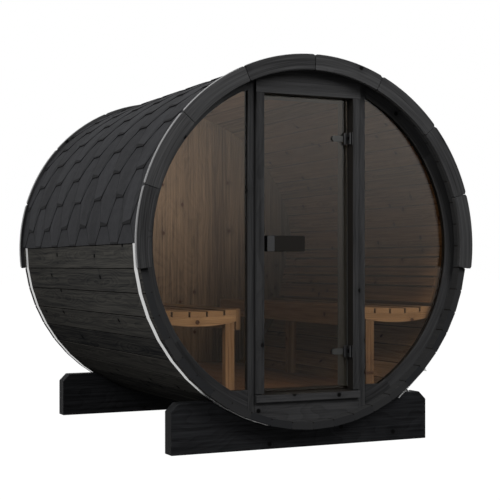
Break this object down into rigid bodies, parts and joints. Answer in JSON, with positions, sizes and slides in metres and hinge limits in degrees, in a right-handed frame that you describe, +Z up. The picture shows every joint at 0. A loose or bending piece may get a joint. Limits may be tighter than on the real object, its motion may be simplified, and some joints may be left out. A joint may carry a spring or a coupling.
{
  "type": "barrel sauna",
  "caption": "Outdoor barrel sauna on two cradles, with stained staves, steel bands, a shingle roof, a glazed front with a hinged glass door, and benches along both sides.",
  "frame": {"origin": "on the ground, under the middle of the barrel, half-way along and across", "axes": "+Z up, the glazed front towards -Y, X across the barrel"},
  "size_m": [2.16, 2.3866, 2.2449],
  "materials": {
    "black_stained_wood": "black translucent stain on planed softwood, grain and knots showing",
    "brown_sauna_wood": "planed heat-treated wood, untreated",
    "stainless_steel": "bright rolled stainless strip",
    "black_metal": "black satin lacquer",
    "roof_shingle": "bitumen shingle with fine dark stone granules",
    "bronze_glass": "bronze-tinted toughened glass"
  },
  "bodies": {
    "sauna": {"top_staves": "black_stained_wood", "left_staves": "black_stained_wood", "right_staves": "black_stained_wood", "bottom_staves": "black_stained_wood", "front_roof_trim": "black_stained_wood", "rear_roof_trim": "black_stained_wood", "left_window_frame": "black_stained_wood", "right_window_frame": "black_stained_wood", "left_wall_post": "black_stained_wood", "right_wall_post": "black_stained_wood", "wall_panel_above_door": "black_stained_wood", "wall_panel_below_door": "black_stained_wood", "door_left_jamb": "black_stained_wood", "door_right_jamb": "black_stained_wood", "door_head": "black_stained_wood", "door_sill": "black_stained_wood", "rear_wall_boards": "black_stained_wood", "front_cradle": "black_stained_wood", "rear_cradle": "black_stained_wood", "floor_boards": "brown_sauna_wood", "floor_bearers": "brown_sauna_wood", "left_bench_slats": "brown_sauna_wood", "left_bench_ribs": "brown_sauna_wood", "left_bench_fascia": "brown_sauna_wood", "left_bench_legs": "brown_sauna_wood", "left_backrest_slats": "brown_sauna_wood", "left_backrest_supports": "brown_sauna_wood", "right_bench_slats": "brown_sauna_wood", "right_bench_ribs": "brown_sauna_wood", "right_bench_fascia": "brown_sauna_wood", "right_bench_legs": "brown_sauna_wood", "right_backrest_slats": "brown_sauna_wood", "right_backrest_supports": "brown_sauna_wood", "front_band": "stainless_steel", "rear_band": "stainless_steel", "band_bolts": "stainless_steel", "door_hinge_leaves": "black_metal", "left_roof_shingles": "roof_shingle", "right_roof_shingles": "roof_shingle", "ridge_shingles": "roof_shingle", "left_window_glass": "bronze_glass", "right_window_glass": "bronze_glass"},
    "door": {"door_glass": "bronze_glass", "door_hinge_clamps": "stainless_steel", "door_hinge_blocks": "black_metal", "door_handle_bracket": "black_metal", "door_handle_grips": "black_stained_wood"}
  },
  "joints": [
    {"name": "door_hinge", "type": "hinge", "parent": "sauna", "child": "door", "pos_m": [0.2772, -1.1035, 1.165], "axis": [0, 0, 1], "range_deg": [0, 100]}
  ]
}
